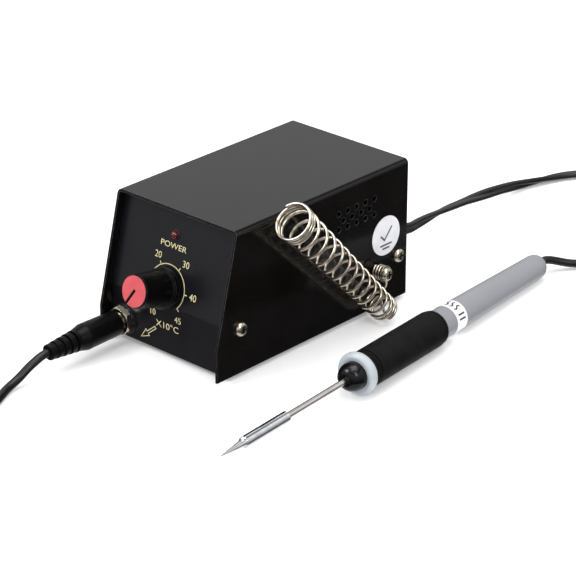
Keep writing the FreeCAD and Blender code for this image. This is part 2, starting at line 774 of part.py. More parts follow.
# ---- iron ---------------------------------------------------------------------------
def handle_r(s):
    """Outside radius of the tapering handle."""
    share = (s - GRIP_BACK_S) / (TAIL_ROUND_S - GRIP_BACK_S)
    return HANDLE_FRONT_R + (HANDLE_TAIL_R - HANDLE_FRONT_R) * share


def iron_tip():
    """Plated tip and its sleeve in one piece, slipped over the heated tube."""
    bore_r = HEATER_R + 0.07
    bore_front = FERRULE_FRONT_S + 3.5
    tip = turned([(0, TIP_S), (0.22, TIP_S + 0.12), (0.55, TIP_S + 3.2), (1.05, TIP_S + 8.0),
                  (1.45, TIP_S + 11.6), (1.6, FERRULE_FRONT_S - 0.9),
                  (FERRULE_R - 0.05, FERRULE_FRONT_S - 0.3), (FERRULE_R, FERRULE_FRONT_S),
                  (FERRULE_R, FERRULE_BACK_S - 0.6), (FERRULE_R - 0.45, FERRULE_BACK_S),
                  (bore_r, FERRULE_BACK_S), (bore_r, bore_front), (0, bore_front - 0.6)])
    return placed(tip, on_iron())


def heater_tube():
    """Thin steel tube that carries the heater out of the nose."""
    return placed(tube(HEATER_R, HEATER_R - 0.3, FERRULE_FRONT_S + 4.2, 12.0), on_iron())


def heater_core():
    """Ceramic rod inside the tube, under the tip's sleeve."""
    return placed(rod(HEATER_R - 0.33, FERRULE_FRONT_S + 4.4, FERRULE_BACK_S + 4.0), on_iron())


def nose_bush():
    """Black domed nose with a neck that passes through the collar into the handle."""
    dome_r = 5.9
    rim_r = 2.1
    base_s = -1.75
    straight = 0.9
    depth = base_s - straight - NOSE_S
    dome = arc_points(rim_r, base_s - straight, dome_r - rim_r, -depth, 0.0, 90.0, 12)
    bush = turned([(0, 9.0), (4.95, 9.0), (4.95, base_s), (dome_r, base_s)] + dome
                  + [(0, NOSE_S)])
    return placed(bush.cut(rod(HEATER_R + 0.02, NOSE_S - 1, 10)), on_iron())


def collar_ring():
    """Pale rounded collar between the nose and the grip."""
    inner_r = 5.0
    face_r = 5.95
    front_s = -1.7
    back_s = 2.4
    round_r = COLLAR_R - 7.0
    mid_s = 0.35
    bulge = arc_points(7.0, mid_s, round_r, mid_s - front_s + 0.15, -90.0, 0.0, 8)
    back = arc_points(7.0, mid_s, round_r, back_s - mid_s, 0.0, 90.0, 8)
    ring = turned([(inner_r, front_s), (face_r, front_s)] + bulge + back[1:]
                  + [(inner_r, back_s)])
    return placed(ring, on_iron())


def grip_sleeve():
    """Rubber sleeve with two grooves behind its front lip and a stepped back end."""
    bore_r = HANDLE_FRONT_R + 0.05
    lip_r = GRIP_R + 0.1
    groove_r = GRIP_R - 0.75
    groove_w = 0.7
    outline = [(bore_r, GRIP_FRONT_S), (lip_r - 0.3, GRIP_FRONT_S),
               (lip_r, GRIP_FRONT_S + 0.3)]
    for s in (GRIP_FRONT_S + 1.5, GRIP_FRONT_S + 3.2):
        outline += [(lip_r, s), (groove_r, s + 0.1), (groove_r, s + groove_w - 0.1),
                    (GRIP_R, s + groove_w)]
        lip_r = GRIP_R
    outline += [(GRIP_R, GRIP_BACK_S - 2.6), (GRIP_R - 0.25, GRIP_BACK_S - 2.2),
                (GRIP_R - 0.65, GRIP_BACK_S - 2.1), (GRIP_R - 0.65, GRIP_BACK_S - 1.6),
                (GRIP_R - 0.35, GRIP_BACK_S - 1.5), (GRIP_R - 0.4, GRIP_BACK_S - 0.3),
                (GRIP_R - 0.7, GRIP_BACK_S), (bore_r, GRIP_BACK_S)]
    grip = turned(outline)
    return placed(grip, on_iron())


def handle_tube():
    """Grey tapering handle, closed at its tail but for the cord's hole."""
    wall = 1.4
    front_s = GRIP_FRONT_S + 0.1
    tail = arc_points(HANDLE_TAIL_R - 3.9, TAIL_ROUND_S, 3.9, TAIL_S - TAIL_ROUND_S,
                      0.0, 90.0, 10)
    shell = turned([(0, front_s), (HANDLE_FRONT_R, front_s), (HANDLE_FRONT_R, GRIP_BACK_S)]
                   + tail + [(0, TAIL_S)])
    bore = turned([(0, front_s - 1), (HANDLE_FRONT_R - wall, front_s - 1),
                   (HANDLE_FRONT_R - wall, GRIP_BACK_S), (HANDLE_TAIL_R - wall, TAIL_ROUND_S - 3),
                   (0, TAIL_ROUND_S - 3)])
    shell = shell.cut(bore)
    return placed(shell.cut(rod(CORD_R + 0.1, TAIL_ROUND_S - 6, TAIL_S + 1)), on_iron())


def label_band():
    """White printed band round the handle."""
    s0, s1 = BAND_S
    inner = 0.02
    outer = 0.15
    band = turned([(handle_r(s0) + inner, s0), (handle_r(s0) + outer, s0),
                   (handle_r(s1) + outer, s1), (handle_r(s1) + inner, s1)])
    return placed(band, on_iron())


def cord_clamp():
    """Crimped clip that stops the cord pulling out of the handle."""
    s0 = TAIL_ROUND_S - 9.0
    s1 = TAIL_ROUND_S - 3.2
    return placed(tube(3.2, CORD_R + 0.05, s0, s1), on_iron())


def heater_leads():
    """Two insulated wires inside the handle, from the heater to the clip."""
    s0 = 13.0
    s1 = TAIL_ROUND_S - 9.3
    leads = [rod(0.55, s0, s1, x) for x in (-0.8, 0.8)]
    return placed(Part.makeCompound(leads), on_iron())


# ---- iron's cord and plug -----------------------------------------------------------
def along_jack(outline):
    """Turned piece on the jack's axis; heights are distances in front of Y = 0."""
    frame = Placement(Vector(JACK_X, 0, JACK_Z), Rotation(Vector(1, 0, 0), 90))
    return placed(turned(outline), frame)


def plug_shell():
    """Moulded plug with a chamfered shoulder and a ribbed strain relief."""
    front = -PLUG_FRONT_Y
    shoulder = 16.7
    neck = 20.9
    end = -PLUG_END_Y
    rib_pitch = 3.3
    groove_w = 1.05
    groove_r = 3.0
    outline = [(0, front), (4.9, front), (5.2, front + 0.3), (5.5, shoulder), (4.5, neck)]
    for i in range(4):
        start = neck + 1.5 + rib_pitch * i
        rib_r = 4.5 - 0.3 * i
        outline += [(rib_r, start), (groove_r, start + 0.1), (groove_r, start + groove_w - 0.1),
                    (rib_r - 0.25, start + groove_w)]
    outline += [(3.3, end - 0.3), (3.0, end), (0, end)]
    shell = along_jack(outline)
    return shell.cut(along_jack([(0, front - 1), (2.0, front - 1), (2.0, 8.0), (0, 8.0)]))


def plug_barrel():
    """Plated outer contact of the plug, with its root moulded into the shell."""
    reach = -PLUG_FRONT_Y - 9.7
    root = -PLUG_FRONT_Y - 0.05
    barrel = along_jack([(1.85, reach), (2.6, reach), (JACK_BORE_R - RUN_GAP, reach + 0.2),
                         (JACK_BORE_R - RUN_GAP, root), (1.95, root), (1.95, 6.0), (1.85, 6.0)])
    return barrel


def plug_insulator():
    """Insulating sleeve inside the plug's barrel, round the jack's pin."""
    reach = -PLUG_FRONT_Y - 9.6
    return along_jack([(1.12, reach), (1.82, reach), (1.82, 5.5), (1.12, 5.5)])


def iron_cord():
    """Cord from the plug round in front of the station to the handle's tail."""
    z = CORD_Z
    tail = on_iron().multVec(Vector(0, 0, TAIL_S + 0.15))
    leaving = on_iron().multVec(Vector(0, 0, TAIL_S + 5.0))
    from_plug = [Vector(JACK_X, PLUG_END_Y - 0.3, JACK_Z), Vector(JACK_X, -38.4, 9.2),
                 Vector(-24.6, -41.6, 8.2), Vector(-24.8, -45.8, 6.4), Vector(-25.0, -51.0, 3.6),
                 Vector(-24.4, -57.0, z + 0.15), Vector(-20.5, -65.5, z)]
    on_bench = [Vector(-8.0, -92.0, z), Vector(20.0, -134.0, z), Vector(72.0, -162.0, z),
                Vector(136.0, -150.0, z), Vector(194.0, -100.0, z), Vector(228.0, -18.0, z),
                Vector(207.0, 68.0, z), Vector(168.0, 141.0, z), Vector(122.0, 188.0, z),
                Vector(90.0, 198.0, z)]
    to_handle = [Vector(75.0, 191.5, z), Vector(66.6, 181.0, 2.9), leaving, tail]
    return swept_wire(from_plug + on_bench + to_handle, CORD_R)


# ---- mains cord and plug ------------------------------------------------------------
def mains_cord():
    """Mains cord from the back panel to its plug."""
    start = Vector(MAINS_X, TRAY_REAR - 3.0, MAINS_Z)
    outside = Vector(MAINS_X, TRAY_REAR + 5.0, MAINS_Z)
    z = MAINS_R + 0.1
    points = [outside, Vector(24.6, 124.0, 25.4), Vector(21.5, 133.0, 23.6),
              Vector(9.8, 168.8, 16.0), Vector(-0.7, 215.0, 6.6), Vector(-2.2, 236.0, 2.8),
              Vector(5.6, 260.5, z), Vector(22.0, 275.5, z + 1.5),
              MAINS_PLUG_AT - MAINS_PLUG_DIR * 6.0, MAINS_PLUG_AT - MAINS_PLUG_DIR * 0.3]
    inner = Part.makeCylinder(MAINS_R, outside.y - start.y, start, Vector(0, 1, 0))
    return inner.fuse(swept_wire(points, MAINS_R))


def on_mains_plug():
    """Local +X runs along the plug towards its pins; local +Z stays up."""
    angle = math.degrees(math.atan2(MAINS_PLUG_DIR.y, MAINS_PLUG_DIR.x))
    return Placement(MAINS_PLUG_AT, Rotation(Vector(0, 0, 1), angle))


def mains_plug_body():
    """Flat two-pin plug moulded on the cord, tapering back to a finger grip."""
    half_t = 6.9
    neck = 8.0
    outline = [(0, 5.0), (neck, 6.5), (neck + 8, 12.0), (26.0, 17.5), (33.0, 17.5)]
    points = [Vector(x, y, -half_t) for x, y in outline]
    points += [Vector(x, -y, -half_t) for x, y in reversed(outline)]
    points.append(points[0])
    body = Part.Face(Part.makePolygon(points)).extrude(Vector(0, 0, 2 * half_t))
    body = body.makeChamfer(1.6, [edge for edge in body.Edges if edge.BoundBox.ZLength < 0.01])
    for i in range(3):
        x = 11.0 + 4.0 * i
        for side in (-1, 1):
            groove = box(x, x + 1.4, -20, 20, side * half_t - 0.5, side * half_t + 0.5)
            body = body.cut(groove)
    for y in (-9.3, 9.3):
        body = body.cut(Part.makeCylinder(2.05, 10, Vector(25, y, 0), Vector(1, 0, 0)))
    return placed(body, on_mains_plug())


def mains_plug_pins():
    pins = []
    for y in (-9.3, 9.3):
        pin = turned([(0, 25.1), (2.0, 25.1), (2.0, 50.0), (1.2, 52.0), (0, 52.0)])
        pins.append(placed(pin, Placement(Vector(0, y, 0), Rotation(Vector(0, 1, 0), 90))))
    return placed(Part.makeCompound(pins), on_mains_plug())


# ---- all pieces ---------------------------------------------------------------------
PIECES = {
    "station_cover": station_cover,
    "chassis_tray": chassis_tray,
    "case_screws": case_screws,
    "rubber_feet": rubber_feet,
    "inspection_sticker": inspection_sticker,
    "pot_bushing": pot_bushing,
    "pot_can": pot_can,
    "pot_track": pot_track,
    "pot_shaft": pot_shaft,
    "pot_nut": pot_nut,
    "knob_body": knob_body,
    "knob_cap": knob_cap,
    "lamp_lens": lamp_lens,
    "lamp_ring": lamp_ring,
    "lamp_legs": lamp_legs,
    "jack_bush": jack_bush,
    "jack_body": jack_body,
    "jack_pin": jack_pin,
    "jack_nut": jack_nut,
    "jack_lock_washer": jack_lock_washer,
    "jack_washer": jack_washer,
    "circuit_board": circuit_board,
    "board_standoffs": board_standoffs,
    "board_screws": board_screws,
    "floor_screws": floor_screws,
    "board_capacitor": board_capacitor,
    "board_diodes": board_diodes,
    "board_regulator": board_regulator,
    "heat_sink": heat_sink,
    "transformer_core": transformer_core,
    "transformer_bobbin": transformer_bobbin,
    "transformer_winding": transformer_winding,
    "transformer_frame": transformer_frame,
    "transformer_nuts": transformer_nuts,
    "primary_leads": primary_leads,
    "secondary_leads": secondary_leads,
    "jack_leads": jack_leads,
    "dial_leads": dial_leads,
    "mains_grommet": mains_grommet,
    "mains_cord": mains_cord,
    "mains_plug_body": mains_plug_body,
    "mains_plug_pins": mains_plug_pins,
    "holder_coil": holder_coil,
    "holder_washer": holder_washer,
    "holder_screw": holder_screw,
    "holder_nut": holder_nut,
    "plug_shell": plug_shell,
    "plug_barrel": plug_barrel,
    "plug_insulator": plug_insulator,
    "iron_cord": iron_cord,
    "iron_tip": iron_tip,
    "heater_tube": heater_tube,
    "heater_core": heater_core,
    "nose_bush": nose_bush,
    "collar_ring": collar_ring,
    "grip_sleeve": grip_sleeve,
    "handle_tube": handle_tube,
    "label_band": label_band,
    "heater_leads": heater_leads,
    "cord_clamp": cord_clamp,
}

FRONT_LEFT_FOOT = Vector(-FOOT_X, FOOT_Y[0], 0)

os.makedirs("parts", exist_ok=True)
for name, make in PIECES.items():
    shape = make()
    shape.translate(-FRONT_LEFT_FOOT)
    if not shape.isValid():
        print("not valid:", name)
    shape.exportStep("parts/" + name + ".step")
    print(name, len(shape.Solids), round(shape.Volume, 1))
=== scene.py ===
import json
import math

import bmesh
import bpy
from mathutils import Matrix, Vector


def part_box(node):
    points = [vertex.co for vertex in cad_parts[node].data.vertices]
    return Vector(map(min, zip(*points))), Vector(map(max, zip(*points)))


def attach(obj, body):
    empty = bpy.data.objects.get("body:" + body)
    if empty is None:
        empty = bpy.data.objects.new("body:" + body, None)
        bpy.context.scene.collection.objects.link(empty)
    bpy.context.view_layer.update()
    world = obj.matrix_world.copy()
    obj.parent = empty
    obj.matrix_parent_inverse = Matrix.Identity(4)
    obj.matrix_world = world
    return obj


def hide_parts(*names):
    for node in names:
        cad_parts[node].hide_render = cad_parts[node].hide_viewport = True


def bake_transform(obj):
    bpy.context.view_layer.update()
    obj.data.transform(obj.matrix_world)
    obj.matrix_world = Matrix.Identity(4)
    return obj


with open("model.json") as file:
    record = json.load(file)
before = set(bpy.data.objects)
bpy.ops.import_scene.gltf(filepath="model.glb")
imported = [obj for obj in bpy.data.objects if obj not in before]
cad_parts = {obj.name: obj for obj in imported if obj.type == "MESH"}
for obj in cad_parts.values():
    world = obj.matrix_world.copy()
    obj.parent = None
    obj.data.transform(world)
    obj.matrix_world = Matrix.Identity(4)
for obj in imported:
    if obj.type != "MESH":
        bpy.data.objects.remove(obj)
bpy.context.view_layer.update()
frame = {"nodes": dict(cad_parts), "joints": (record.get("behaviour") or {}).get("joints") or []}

# Looks of a miniature soldering station, its coil holder and its iron.
# Lengths named in millimetres are turned into metres by MM.

MM = 0.001
JOINTS = {joint["name"]: joint for joint in frame["joints"]}


def case_place(x, y, z):
    """Place in metres, from millimetres measured on the bench from under the middle of
    the case's front edge."""
    low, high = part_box("station_cover")
    return Vector(((low.x + high.x) / 2, low.y, 0.0)) + Vector((x, y, z)) * MM


# ---- driving values -----------------------------------------------------------------
# The dial's axis meets the front panel at the knob joint; the joint's axis points inwards.
DIAL_AT = Vector(JOINTS["knob_turn"]["pos_m"])
PANEL_OUT = -Vector(JOINTS["knob_turn"]["axis"]).normalized()
PANEL_RIGHT = Vector((1, 0, 0))
PANEL_UP = PANEL_OUT.cross(PANEL_RIGHT)
TRAY_FRONT_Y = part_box("chassis_tray")[0].y
EYE_AT = Vector(JOINTS["holder_swivel"]["pos_m"])
IRON_AXIS = -Vector(JOINTS["tip_pull"]["axis"]).normalized()

# Printed marks: their height off the surface, their thickness, and the lines' widths in
# millimetres.
INK_LIFT = 0.01 * MM
INK_DEPTH = 0.03 * MM
SCALE_PEN = 0.38
ARROW_PEN = 0.34
SEAL_PEN = 0.75
BAND_PEN = 0.65

# Coil holder: the centre line of its wire, in millimetres but for the two places.
WIRE_R = 0.65
COIL_MOUTH = case_place(42.0, 32.4, 63.0)
COIL_TAIL = case_place(40.5, 89.9, 4.9)
COIL_MOUTH_R = 7.6
COIL_TAIL_R = 5.1
COIL_TURNS = 16.5
COIL_START_DEG = 215.0
COIL_STEPS = 14
# The wire's way from the last turn up to the eye round the holder's screw.
COIL_LEAD = ((34.9, 93.4, 8.6), (35.7, 95.6, 12.0), (36.4, 95.2, 14.9))
EYE_R = 2.7
EYE_TURNS = 2.5
EYE_PITCH = 1.36
EYE_HALF_DEPTH = 2.0
EYE_START_DEG = -80.0

# The iron's cord, in millimetres: from the plug down to the bench, then one loop on it.
CORD_R = 1.75
CORD_DROP = ((-24.6, -41.6, 8.2), (-24.8, -45.8, 6.4), (-25.0, -51.0, 3.6), (-24.4, -57.0, 2.0))
CORD_LOOP = ((-20.5, -65.5), (-8.0, -92.0), (20.0, -134.0), (72.0, -162.0), (136.0, -150.0),
             (194.0, -100.0), (228.0, -18.0), (207.0, 68.0), (168.0, 141.0), (122.0, 188.0),
             (90.0, 198.0), (75.0, 191.5))
CORD_RISE = (66.6, 181.0, 2.9)

# The flat mains cord, in millimetres: from the back panel down to the bench and its plug.
FLAT_CORE_R = 1.25
MAINS_COURSE = ((24.6, 124.0, 25.4), (21.5, 133.0, 23.6), (9.8, 168.8, 16.0),
                (-0.7, 215.0, 6.6), (-2.2, 236.0, 2.8), (5.6, 260.5, 2.1),
                (22.0, 275.5, 3.6), (36.7, 275.9, 7.2), (43.8, 272.0, 7.2))
# Share of the mains cord's length, and the angle of its wide side above the level there.
MAINS_TWIST = ((0.0, 90.0), (0.10, 90.0), (0.34, 10.0), (0.58, -84.0), (0.78, -180.0),
               (1.0, -180.0))

# The handle's white band: its outside radius in the middle, and how it narrows to the tail.
BAND_R = 6.39
BAND_TAPER = 0.0138

# What polished faces see of the studio: share of the way from below to above, and light.
STUDIO_LEVELS = ((0.0, 1.0), (0.19, 1.0), (0.23, 0.07), (0.36, 0.07), (0.43, 0.40),
                 (0.475, 0.38), (0.56, 0.62), (0.66, 0.88), (0.74, 0.93), (0.80, 1.2),
                 (0.84, 0.22), (0.88, 0.22), (0.92, 1.3), (1.0, 1.3))
STUDIO_BLUE = 1.03
STUDIO_STRENGTH = 0.85
WHITE = (1.0, 1.0, 1.0, 1.0)


# ---- shader helpers -----------------------------------------------------------------
def node(tree, kind, values=None, **settings):
    """A new node; values that are sockets are linked, others become defaults."""
    made = tree.nodes.new(kind)
    for key, value in settings.items():
        setattr(made, key, value)
    for key, value in (values or {}).items():
        if isinstance(value, bpy.types.NodeSocket):
            tree.links.new(value, made.inputs[key])
        else:
            made.inputs[key].default_value = value
    return made


def object_place(tree, stretch=(1, 1, 1)):
    """Place on the object, in metres; a stretch below one draws features out that way."""
    coords = node(tree, "ShaderNodeTexCoord").outputs["Object"]
    return node(tree, "ShaderNodeMapping", {"Vector": coords, "Scale": stretch}).outputs[0]


def noise(tree, size, detail=3.0, stretch=(1, 1, 1)):
    """Noise whose features are about size millimetres across."""
    values = {"Vector": object_place(tree, stretch), "Scale": 1.0 / (size * MM),
              "Detail": detail, "Roughness": 0.55}
    return node(tree, "ShaderNodeTexNoise", values).outputs["Fac"]


def remap(tree, value, low, high, to_low=0.0, to_high=1.0):
    """The value's range from low to high carried over to a new range, clipped at its ends."""
    values = {"Value": value, "From Min": low, "From Max": high,
              "To Min": to_low, "To Max": to_high}
    return node(tree, "ShaderNodeMapRange", values, clamp=True).outputs[0]


def multiply(tree, first, second):
    return node(tree, "ShaderNodeMath", {0: first, 1: second}, operation="MULTIPLY").outputs[0]


def mix_colour(tree, share, first, second):
    """Share nought gives the first colour, one the second."""
    share_in, first_in, second_in, colour_out = 0, 6, 7, 2
    values = {share_in: share, first_in: first, second_in: second}
    return node(tree, "ShaderNodeMix", values, data_type="RGBA").outputs[colour_out]


def rgb(red, green, blue):
    """Colour as it shows on a screen, 0 to 255, turned into linear light."""
    linear = []
    for value in (red, green, blue):
        share = value / 255.0
        linear.append(share / 12.92 if share < 0.04045 else ((share + 0.055) / 1.055) ** 2.4)
    return (*linear, 1.0)


def edge_mask(tree, normal):
    """One along sharp edges, nought on open faces."""
    plain = node(tree, "ShaderNodeNewGeometry").outputs["Normal"]
    likeness = node(tree, "ShaderNodeVectorMath", {0: normal, 1: plain},
                    operation="DOT_PRODUCT").outputs["Value"]
    flat, sharp = 0.985, 0.80
    return remap(tree, likeness, flat, sharp)


def surface(name, base, tint, rough, metal=0.0, mottle=14.0, grit=0.5, relief=0.004,
            stretch=(1, 1, 1), worn=None, wear=0.5, rounding=0.15, coat=0.0, specular=0.5):
    """Mottled colour, uneven roughness, fine relief, softened and rubbed edges.

    Mottle, grit, relief and rounding are in millimetres; rough is the roughness's range."""
    material = bpy.data.materials.new(name)
    material.use_nodes = True
    tree = material.node_tree
    shader = tree.nodes["Principled BSDF"]
    shader.inputs["Metallic"].default_value = metal
    shader.inputs["Coat Weight"].default_value = coat
    shader.inputs["Coat Roughness"].default_value = 0.08
    shader.inputs["Specular IOR Level"].default_value = specular
    rounded = node(tree, "ShaderNodeBevel", {"Radius": rounding * MM}, samples=4).outputs[0]
    patches = noise(tree, mottle, stretch=stretch)
    specks = noise(tree, grit, 5.0, stretch)
    colour = mix_colour(tree, remap(tree, patches, 0.35, 0.65), base, tint)
    colour = mix_colour(tree, remap(tree, specks, 0.62, 0.78, 0.0, 0.35), colour, tint)
    uneven = noise(tree, mottle * 0.4, 4.0, stretch)
    roughness = remap(tree, uneven, 0.3, 0.7, *rough)
    if worn:
        rub_size = 1.6
        least_wear = 0.25
        patchy = remap(tree, noise(tree, rub_size, 4.0), 0.35, 0.6, least_wear, wear)
        rubbed = multiply(tree, edge_mask(tree, rounded), patchy)
        colour = mix_colour(tree, rubbed, colour, worn)
    tree.links.new(colour, shader.inputs["Base Color"])
    tree.links.new(roughness, shader.inputs["Roughness"])
    bump = node(tree, "ShaderNodeBump", {"Height": specks, "Distance": relief * MM,
                                         "Strength": 0.8, "Normal": rounded})
    tree.links.new(bump.outputs[0], shader.inputs["Normal"])
    return material


def add_relief(material, height, depth):
    """A second layer of relief under the fine one, depth in millimetres."""
    tree = material.node_tree
    fine = next(n for n in tree.nodes if n.bl_idname == "ShaderNodeBump")
    below = fine.inputs["Normal"].links[0].from_socket
    broad = node(tree, "ShaderNodeBump", {"Height": height, "Distance": depth * MM,
                                          "Strength": 1.0, "Normal": below})
    tree.links.new(broad.outputs[0], fine.inputs["Normal"])


def painted(material):
    """The material's tree, its colour input and what feeds that input now."""
    tree = material.node_tree
    colour_in = tree.nodes["Principled BSDF"].inputs["Base Color"]
    return tree, colour_in, colour_in.links[0].from_socket


def add_painted_shade(material, reach, dark):
    """Painted shade: darker colour in recesses and between turns, where shade falls, reach in
    millimetres.
    """
    tree, colour_in, below = painted(material)
    openness = node(tree, "ShaderNodeAmbientOcclusion", {"Distance": reach * MM},
                    samples=6).outputs["AO"]
    # Painted shade: the less open the place, the more of the dark colour.
    unshaded_share = remap(tree, openness, 0.25, 0.85)
    tree.links.new(mix_colour(tree, unshaded_share, dark, below), colour_in)


def add_dust(material, share, size=0.9):
    """Pale specks of dust."""
    tree, colour_in, below = painted(material)
    specks = remap(tree, noise(tree, size, 6.0), 0.66, 0.74, 0.0, share)
    tree.links.new(mix_colour(tree, specks, below, rgb(150, 148, 144)), colour_in)


def bands(tree, pitch, axis):
    """Even ridges across one axis, pitch in millimetres."""
    radians_per_scale = 20.0
    scale = 2 * math.pi / (radians_per_scale * pitch * MM)
    values = {"Vector": object_place(tree), "Scale": scale}
    return node(tree, "ShaderNodeTexWave", values, bands_direction=axis).outputs["Fac"]


# ---- looks by the record's material slots ----------------------------------------------
def paint_looks():
    black = surface("black_paint_look", rgb(8, 7, 6), rgb(13, 11, 10), (0.10, 0.16),
                    grit=0.7, relief=0.002, worn=rgb(120, 120, 122), wear=0.75,
                    rounding=0.3, specular=0.33)
    add_relief(black, noise(black.node_tree, 4.0), 0.006)
    add_dust(black, 0.05)
    panel = surface("panel_paint_look", rgb(14, 14, 19), rgb(17, 17, 22), (0.28, 0.34),
                    grit=0.7, relief=0.002, worn=rgb(120, 120, 126), wear=0.5, rounding=0.3)
    add_relief(panel, noise(panel.node_tree, 4.0), 0.006)
    add_dust(panel, 0.04)
    return {"black_paint": black, "panel_paint": panel}


def metal_looks():
    looks = {
        "nickel": surface("nickel_look", rgb(214, 205, 188), rgb(190, 178, 156), (0.12, 0.22),
                          metal=1.0, mottle=2.5, grit=0.3, relief=0.0015, rounding=0.08,
                          worn=rgb(246, 242, 232), wear=0.8),
        "spring_wire": surface("spring_wire_look", rgb(210, 202, 188), rgb(178, 166, 148),
                               (0.10, 0.20), metal=1.0, mottle=2.0, grit=0.2, relief=0.002,
                               rounding=0.05),
        "can_steel": surface("can_steel_look", rgb(178, 180, 182), rgb(150, 148, 142),
                             (0.28, 0.42), metal=1.0, mottle=4.0, grit=0.3, relief=0.006,
                             worn=rgb(214, 214, 212)),
        "brass": surface("brass_look", rgb(206, 172, 98), rgb(176, 138, 74), (0.29, 0.40),
                         metal=1.0, mottle=3.0, grit=0.3, relief=0.005,
                         worn=rgb(232, 206, 140)),
        "aluminium": surface("aluminium_look", rgb(190, 192, 194), rgb(164, 166, 168),
                             (0.30, 0.45), metal=1.0, mottle=5.0, grit=0.3, relief=0.006,
                             stretch=(1, 1, 6), worn=rgb(220, 220, 220)),
        "tip_chrome": surface("tip_chrome_look", rgb(242, 244, 246), rgb(228, 230, 232),
                              (0.06, 0.12), metal=1.0, mottle=3.0, grit=0.3, relief=0.0008,
                              rounding=0.12),
        "tube_steel": surface("tube_steel_look", rgb(240, 236, 232), rgb(222, 214, 206),
                              (0.10, 0.18), metal=1.0, mottle=3.0, grit=0.3, relief=0.001,
                              stretch=(1, 0.25, 1), rounding=0.05),
        "laminations": surface("laminations_look", rgb(104, 100, 96), rgb(82, 72, 64),
                               (0.4, 0.6), metal=0.9, mottle=6.0, worn=rgb(150, 148, 144)),
    }
    core = looks["laminations"]
    add_relief(core, bands(core.node_tree, 0.5, "Y"), 0.12)
    # Painted shade in the nickel parts' recesses and between the coil wire's turns.
    add_painted_shade(looks["nickel"], 1.2, rgb(52, 46, 40))
    add_painted_shade(looks["spring_wire"], 1.0, rgb(84, 76, 66))
    return looks


def plastic_looks():
    looks = {
        "moulded_black": surface("moulded_black_look", rgb(6, 6, 7), rgb(10, 10, 11),
                                 (0.29, 0.38), grit=0.5, relief=0.004, rounding=0.1,
                                 worn=rgb(60, 60, 62), wear=0.4, specular=0.11),
        "knob_black": surface("knob_black_look", rgb(5, 5, 5), rgb(9, 9, 10),
                              (0.20, 0.26), grit=0.45, relief=0.003, rounding=0.2,
                              worn=rgb(96, 98, 104), wear=0.6, specular=0.1),
        "knob_red": surface("knob_red_look", rgb(196, 77, 82), rgb(187, 68, 74),
                            (0.42, 0.55), mottle=5.0, grit=0.3, relief=0.006, rounding=0.1,
                            worn=rgb(220, 120, 126), wear=0.6),
        "nose_gloss": surface("nose_gloss_look", rgb(8, 8, 10), rgb(12, 12, 15),
                              (0.07, 0.14), mottle=6.0, grit=0.6, relief=0.001,
                              rounding=0.2, specular=0.3),
        "collar_grey": surface("collar_grey_look", rgb(175, 182, 187), rgb(166, 173, 179),
                               (0.3, 0.42), mottle=6.0, grit=0.4, relief=0.004, rounding=0.2,
                               worn=rgb(206, 212, 216), wear=0.5),
        "handle_grey": surface("handle_grey_look", rgb(134, 135, 140), rgb(128, 129, 134),
                               (0.29, 0.37), mottle=18.0, grit=0.35, relief=0.003,
                               stretch=(1, 0.3, 1), rounding=0.2, coat=0.3,
                               worn=rgb(168, 170, 174), wear=0.5),
        "component_black": surface("component_black_look", rgb(20, 20, 21), rgb(32, 32, 33),
                                   (0.4, 0.55), mottle=4.0, worn=rgb(80, 80, 82), wear=0.4),
        "phenolic": surface("phenolic_look", rgb(112, 74, 40), rgb(92, 58, 30), (0.45, 0.6),
                            mottle=3.0, worn=rgb(150, 110, 70)),
        "bobbin_plastic": surface("bobbin_plastic_look", rgb(206, 198, 176),
                                  rgb(190, 180, 156), (0.4, 0.55), mottle=6.0,
                                  worn=rgb(226, 220, 200)),
        "wire_insulation": surface("wire_insulation_look", rgb(150, 26, 24), rgb(126, 20, 20),
                                   (0.34, 0.46), mottle=5.0, rounding=0.05),
        "ceramic": surface("ceramic_look", rgb(228, 222, 210), rgb(208, 200, 186),
                           (0.5, 0.65), mottle=2.0, rounding=0.08),
    }
    cap = looks["knob_red"]
    add_relief(cap, noise(cap.node_tree, 1.2), 0.02)
    return looks


def soft_looks():
    grip = surface("grip_rubber_look", rgb(12, 12, 13), rgb(18, 18, 19), (0.50, 0.62),
                   mottle=7.0, grit=0.35, relief=0.012, rounding=0.1,
                   worn=rgb(58, 58, 60), wear=0.5, specular=0.09)
    add_relief(grip, noise(grip.node_tree, 1.4, 2.0, (1, 0.3, 1)), 0.012)
    add_dust(grip, 0.10, 0.6)
    cord = surface("cord_black_look", rgb(8, 8, 9), rgb(13, 13, 14), (0.29, 0.38),
                   mottle=9.0, grit=0.5, relief=0.004, rounding=0.1, specular=0.4)
    add_dust(cord, 0.05)
    foot = surface("foot_rubber_look", rgb(28, 28, 28), rgb(40, 40, 39), (0.6, 0.75),
                   mottle=4.0, relief=0.02, worn=rgb(74, 74, 72), wear=0.5, specular=0.35)
    return {"grip_rubber": grip, "cord_black": cord, "foot_rubber": foot}


def sheet_looks():
    paper = surface("paper_look", rgb(228, 228, 232), rgb(216, 216, 221), (0.5, 0.62),
                    mottle=5.0, grit=0.18, relief=0.01, rounding=0.05, specular=0.4)
    band = surface("band_white_look", rgb(236, 237, 238), rgb(226, 227, 229), (0.36, 0.5),
                   mottle=5.0, grit=0.25, relief=0.006, rounding=0.05)
    tape = surface("winding_tape_look", rgb(206, 168, 62), rgb(184, 144, 50), (0.3, 0.42),
                   mottle=8.0, rounding=0.2)
    add_relief(tape, bands(tape.node_tree, 4.0, "Z"), 0.08)
    board = surface("circuit_look", rgb(26, 92, 58), rgb(20, 76, 50), (0.3, 0.42),
                    mottle=3.0, grit=0.6, worn=rgb(150, 150, 110))
    add_traces(board)
    return {"paper": paper, "band_white": band, "winding_tape": tape, "circuit": board}


